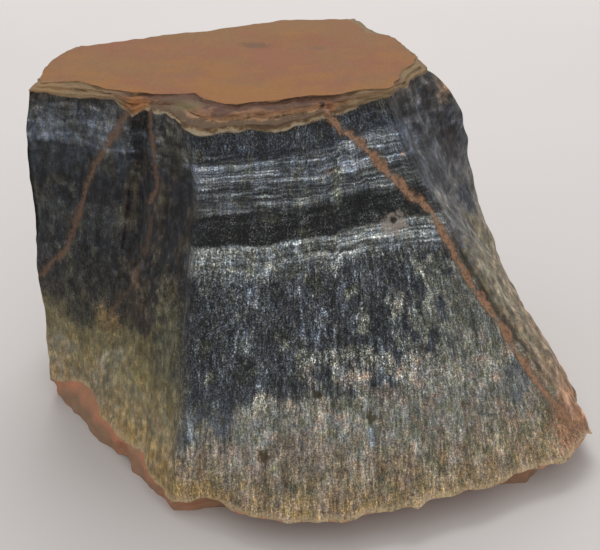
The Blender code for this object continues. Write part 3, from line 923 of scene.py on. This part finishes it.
def with_foot(tree, colour, place, level, banded, clouds):
    """Lays the olive foot over the bands, up to a ragged border.

    It is lower at the prow, spots the fibres above it towards the spur, and has ochre patches at its hem.
    """
    x, _, z = place.outputs
    tufts = clouds["tufts"]
    reach = total(
        tree,
        between(tree, x, -12.0, -4.0, -8.0, 0.0),
        swing(tree, clouds["threads"], 2.5),
        swing(tree, clouds["patches"], 9.0),
    )
    foot = between(tree, maths(tree, "SUBTRACT", z, reach), *FOOT_TOP)
    spots = total(
        tree,
        between(tree, x, 2.0, 20.0, -1.0, 0.8),
        between(tree, z, 31.0, 26.0, -1.0, 0.0),
        swing(tree, tufts, 2.0),
        swing(tree, clouds["blots"], 2.0),
    )
    foot = maths(tree, "MAXIMUM", foot, between(tree, spots, -0.1, 0.5, 0.0, 0.85))
    foot = product(tree, foot, between(tree, banded, 0.0, 0.4, 0.3, 1.0))
    colour = mixed(tree, foot, colour, olive_colour(tree, place, level, clouds))
    ochre = total(
        tree,
        swing(tree, clouds["tints"], -1.0),
        swing(tree, tufts, 0.6),
        between(tree, z, 9.0, 4.0, -0.3, 0.1),
    )
    ochre = product(
        tree,
        between(tree, ochre, 0.0, 0.25),
        between(tree, x, 8.0, 24.0, 0.7, 0.2),
        between(tree, z, 13.0, 7.0),
    )
    return mixed(tree, ochre, colour, OCHRE)


def with_grit(tree, colour, level, banded, clouds):
    """Lays pale grains over the black band."""
    grit = product(
        tree,
        between(tree, clouds["specks"], 0.52, 0.64, 0.0, 0.4),
        between(tree, clouds["tufts"], 0.46, 0.62, 0.1, 1.0),
        maths(tree, "COMPARE", level, BLACK_BAND, HALF_BLACK_BAND),
        banded,
    )
    return mixed(tree, grit, colour, PALE_GRIT)


def worn_colour(tree, place, level, clouds):
    """The worn flank's faded bands, which blots move up and down, smeared with moss green low down."""
    faded = ramp(tree, total(tree, place.outputs[2], swing(tree, clouds["blots"], 9.0)), WORN_BANDS, HEIGHT)
    mossy = between(tree, clouds["tints"], 0.50, 0.40, 0.0, 0.6)
    return mixed(tree, product(tree, mossy, between(tree, level, 36.0, 26.0)), faded, MOSS)


def growth_lines(tree, place, fold, level):
    """The seam's thin growth lines, about 0, and how clearly they show at each place, 0 to 1.

    They are clouds about 14 mm long and 0.4 mm high, which bend with the level.
    """
    along = product(tree, place.outputs[0], 0.03)
    across = node(tree, "CombineXYZ", {0: fold, 1: along, 2: level}).outputs[0]
    lines = swing(tree, cloud(tree, across, 2.4, 4.0, 0.75), 6.2)
    setting_in = between(tree, level, *LINES_START)
    lined = product(tree, setting_in, between(tree, place.outputs[0], -4.0, 4.0, 0.45, 0.9))
    lined = maths(tree, "MAXIMUM", lined, between(tree, level, *LINES_SPREAD, 0.3, 1.0))
    lined = product(tree, lined, setting_in, between(tree, level, *LINES_END, 0.3, 1.0))
    return lines, lined


# front_shine: partly a painted sheen, as fibres catch or miss the light, and partly their own tone and growth
# lines
def front_shine(tree, place, fold, level, banded, clouds):
    """The shine of the fibres: the sum of the clouds along them and of the growth lines.

    Where there are growth lines, low down, and at the right below the bands, all but the threads are weaker.
    """
    lines, lined = growth_lines(tree, place, fold, level)
    calm = between(tree, place.outputs[0], 10.0, 20.0, 0.0, 0.8)
    calm = product(tree, calm, between(tree, level, 33.0, 29.0))
    low = maths(tree, "MAXIMUM", between(tree, place.outputs[2], 20.0, 14.0), calm)
    quiet = total(tree, lined, low)
    return total(
        tree,
        product(tree, swing(tree, clouds["flecks"], 2.8), between(tree, quiet, 0.3, 1.0, 1.0, 0.55)),
        product(tree, swing(tree, clouds["specks"], 5.0), between(tree, quiet, 0.0, 1.0, 1.0, 0.45)),
        product(tree, swing(tree, clouds["threads"], 1.2), between(tree, low, 0.0, 1.0, 1.0, 1.3)),
        product(tree, swing(tree, clouds["tufts"], 2.4), between(tree, quiet, 0.0, 1.0, 1.0, 0.55)),
        product(tree, swing(tree, clouds["mottles"], 2.0), between(tree, quiet, 0.0, 1.0, 1.0, 0.0)),
        product(tree, lines, product(tree, lined, banded)),
    )


# side_shine: partly a painted sheen and partly the tone of the other faces
def side_shine(tree, place, banded, worn, clouds):
    """What the other faces add to the shine: flat bars under the brow, lumps, and smears where it is worn."""
    bars = product(
        tree,
        swing(tree, clouds["bars"], 3.0),
        between(tree, place.outputs[2], 38.0, 43.0),
        between(tree, banded, 0.0, 0.3, 1.0, 0.0),
    )
    lumps = product(
        tree,
        swing(tree, clouds["lumps"], 2.4),
        between(tree, banded, 0.0, 1.0, 1.0, 0.0),
        between(tree, place.outputs[2], 24.0, 16.0, 1.0, 0.6),
        between(tree, worn, 0.0, 1.0, 1.0, 0.6),
    )
    smears = product(tree, swing(tree, clouds["smears"], 2.4), worn)
    return bars, lumps, smears


def fibres_colour(tree, here, place, banded, clouds, fray):
    """The banded fibres of the walls.

    The bands' colours go by a level: the height, pushed up and down by folds, threads and patches. The
    colour is then multiplied by SHINE to the power of a shine, a sum of clouds: partly a painted sheen, as
    fibres catch or miss the light, and partly their own tone and growth lines. Pale highlights, painted
    where fibres catch the light, lie on top.
    """
    fold = between(tree, place.outputs[0], *KINK, *KINK_LOWERS)
    fold = total(tree, swing(tree, clouds["folds"], 0.35), fold)
    level = total(
        tree,
        place.outputs[2],
        fold,
        swing(tree, clouds["threads"], 0.3),
        swing(tree, clouds["patches"], 0.4),
    )
    tufts = clouds["tufts"]
    worn = total(tree, carried(tree, "worn"), swing(tree, clouds["blots"], 0.5), swing(tree, tufts, 0.4))
    worn = between(tree, worn, 0.25, 0.75)

    colour = banded_colour(tree, place, level, banded, clouds)
    colour = with_foot(tree, colour, place, level, banded, clouds)
    colour = with_grit(tree, colour, level, banded, clouds)
    colour = mixed(tree, between(tree, clouds["blots"], 0.53, 0.66, 0.0, 0.55), colour, DIM_OLIVE)
    colour = mixed(tree, worn, colour, worn_colour(tree, place, level, clouds))
    colour = stained(tree, here, colour, FIBRE_STAINS.values(), fray, 0.85)
    cast = mixed(tree, between(tree, clouds["casts"], 0.38, 0.62), COLD, WARM)
    colour = mixed(tree, 1.0, colour, cast, "MULTIPLY")

    # painted sheen together with the fibres' own tone, multiplied into the colour below
    shine = product(
        tree,
        front_shine(tree, place, fold, level, banded, clouds),
        between(tree, banded, 0.0, 1.0, 0.35, 1.0),
        between(tree, worn, 0.0, 1.0, 1.0, 0.7),
    )
    shine = total(
        tree,
        shine,
        *side_shine(tree, place, banded, worn, clouds),
        between(tree, banded, 0.0, 1.0, 0.0, -0.25),
    )
    colour = mixed(tree, 1.0, colour, maths(tree, "POWER", SHINE, shine), "MULTIPLY")
    # painted highlights: pale glint laid over the colour where fibres catch the light
    painted_glints = product(
        tree,
        between(tree, clouds["painted_glints"], 0.57, 0.72, 0.0, 0.6),
        between(tree, tufts, 0.42, 0.62, 0.2, 0.9),
        banded,
    )
    return mixed(tree, painted_glints, colour, PAINTED_GLINT)


def upper_skin_colour(tree, here, place, over_ledge, clouds, fray):
    """The brown top and the skin's stepped edge, which is plainer and tan at the left and right ends."""
    brown = mixed(tree, between(tree, cloud(tree, here, 0.07, 3.0, 0.6), 0.42, 0.60), SKIN_BROWN, SKIN_RED)
    front = between(tree, place.outputs[1], 22.0, 0.0, -0.10, 0.06)
    warm = between(tree, total(tree, cloud(tree, here, 0.12, 4.0, 0.6), front), 0.46, 0.62, 0.0, 0.8)
    brown = mixed(tree, warm, brown, SKIN_ORANGE)
    broken = cloud(tree, scaled(tree, here, 1.0, 1.0, 2.0), 0.35, 4.0, 0.6)
    crumbs = clouds["crumbs"]
    edge = total(tree, over_ledge, swing(tree, broken, 0.35), swing(tree, crumbs, 0.12))
    ledge = ramp(tree, edge, LEDGE_BANDS, 1.0)
    plain = total(
        tree,
        between(tree, place.outputs[0], -23.0, -29.0),
        between(tree, place.outputs[0], 3.0, 7.0, 0.0, 0.8),
        between(tree, place.outputs[1], 3.0, 9.0),
        swing(tree, broken, 0.5),
    )
    plain = product(tree, plain, between(tree, over_ledge, 1.0, 0.9, 0.6, 0.85))
    ledge = mixed(tree, plain, ledge, LEDGE_TAN)
    colour = mixed(tree, between(tree, over_ledge, 0.985, 1.0), ledge, brown)
    coarse = between(tree, over_ledge, 0.97, 1.0, 0.7, 0.4)
    tone = maths(tree, "POWER", 1.8, product(tree, swing(tree, crumbs, 1.0), coarse))
    colour = mixed(tree, 1.0, colour, tone, "MULTIPLY")
    return stained(tree, here, colour, SKIN_STAINS.values(), fray, 0.8)


def lower_skin_colour(tree, here, over_hem):
    """The thin crust underfoot, redder towards the hem."""
    redder = total(tree, between(tree, over_hem, -3.0, -0.5, -0.1, 0.1), cloud(tree, here, 0.3, 4.0, 0.6))
    crust = mixed(tree, between(tree, redder, 0.36, 0.68), CRUST_BROWN, CRUST_RED)
    return mixed(tree, 1.0, crust, maths(tree, "POWER", 1.5, swing(tree, redder, 0.9)), "MULTIPLY")


def stone_finish():
    """Banded fibres on the walls, brown ironstone on top and underfoot, with rust along the veins."""
    finish = bpy.data.materials.new("banded_fibres_and_ironstone")
    finish.use_nodes = True
    tree = finish.node_tree
    shader = tree.nodes["Principled BSDF"]
    here = scaled(tree, node(tree, "TexCoord").outputs["Object"], 1000.0, 1000.0, 1000.0)  # in mm
    place = node(tree, "SeparateXYZ", {0: here})
    under_brow, over_hem, over_ledge = node(tree, "SeparateXYZ", {0: carried(tree, "seam", "Vector")}).outputs
    clouds = stone_clouds(tree, here)
    tufts, crumbs = clouds["tufts"], clouds["crumbs"]
    fray = swing(tree, clouds["fray"], 1.0)

    colour = fibres_colour(tree, here, place, carried(tree, "banded"), clouds, fray)
    on_upper = between(tree, total(tree, under_brow, swing(tree, tufts, 0.3)), 0.15, -0.05)
    upper = upper_skin_colour(tree, here, place, over_ledge, clouds, fray)
    colour = veined(tree, mixed(tree, on_upper, colour, upper), clouds, fray)
    knot = (NODULE[0], (1.1 * NODULE[1], 9.0, 0.9 * NODULE[1]), NODULE_PALE)
    colour = stained(tree, here, colour, [knot], fray, 0.75)
    pits = [(place, (1.3 * radius,) * 3, shade) for place, radius, _, shade in PITS.values()]
    colour = stained(tree, here, colour, pits, fray, 0.9)

    # the lower skin, and the pale lip above it
    frayed_hem = total(tree, over_hem, swing(tree, tufts, 0.5))
    lip = product(tree, between(tree, frayed_hem, 0.9, 0.3), between(tree, crumbs, 0.35, 0.6, 0.0, 0.8))
    colour = mixed(tree, lip, colour, LIP)
    on_crust = between(tree, frayed_hem, 0.12, -0.12)
    colour = mixed(tree, on_crust, colour, lower_skin_colour(tree, here, over_hem))
    tree.links.new(colour, shader.inputs["Base Color"])

    # silky fibres, matt skins, and the finest threads, or crumbs where it is worn, as bumps
    skins = maths(tree, "MAXIMUM", on_upper, on_crust)
    sheen = between(tree, clouds["flecks"], 0.35, 0.65, 0.65, 0.45)
    tree.links.new(between(tree, skins, 0.0, 1.0, sheen, 0.8), shader.inputs["Roughness"])
    ups = total(tree, product(tree, clouds["threads"], 0.7), product(tree, clouds["flecks"], 0.6))
    ups = between(tree, maths(tree, "MAXIMUM", skins, carried(tree, "worn")), 0.0, 1.0, ups, crumbs)
    bump = node(tree, "Bump", {"Height": ups, "Distance": 0.00025, "Strength": 0.8})
    tree.links.new(bump.outputs[0], shader.inputs["Normal"])
    shader.inputs["Specular IOR Level"].default_value = 0.22
    return finish


stone = bpy.data.objects.new("tigers_eye", mesh)
stone.data.materials.append(stone_finish())
bpy.context.scene.collection.objects.link(stone)
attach(stone, "root")
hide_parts("tigers_eye_chunk")
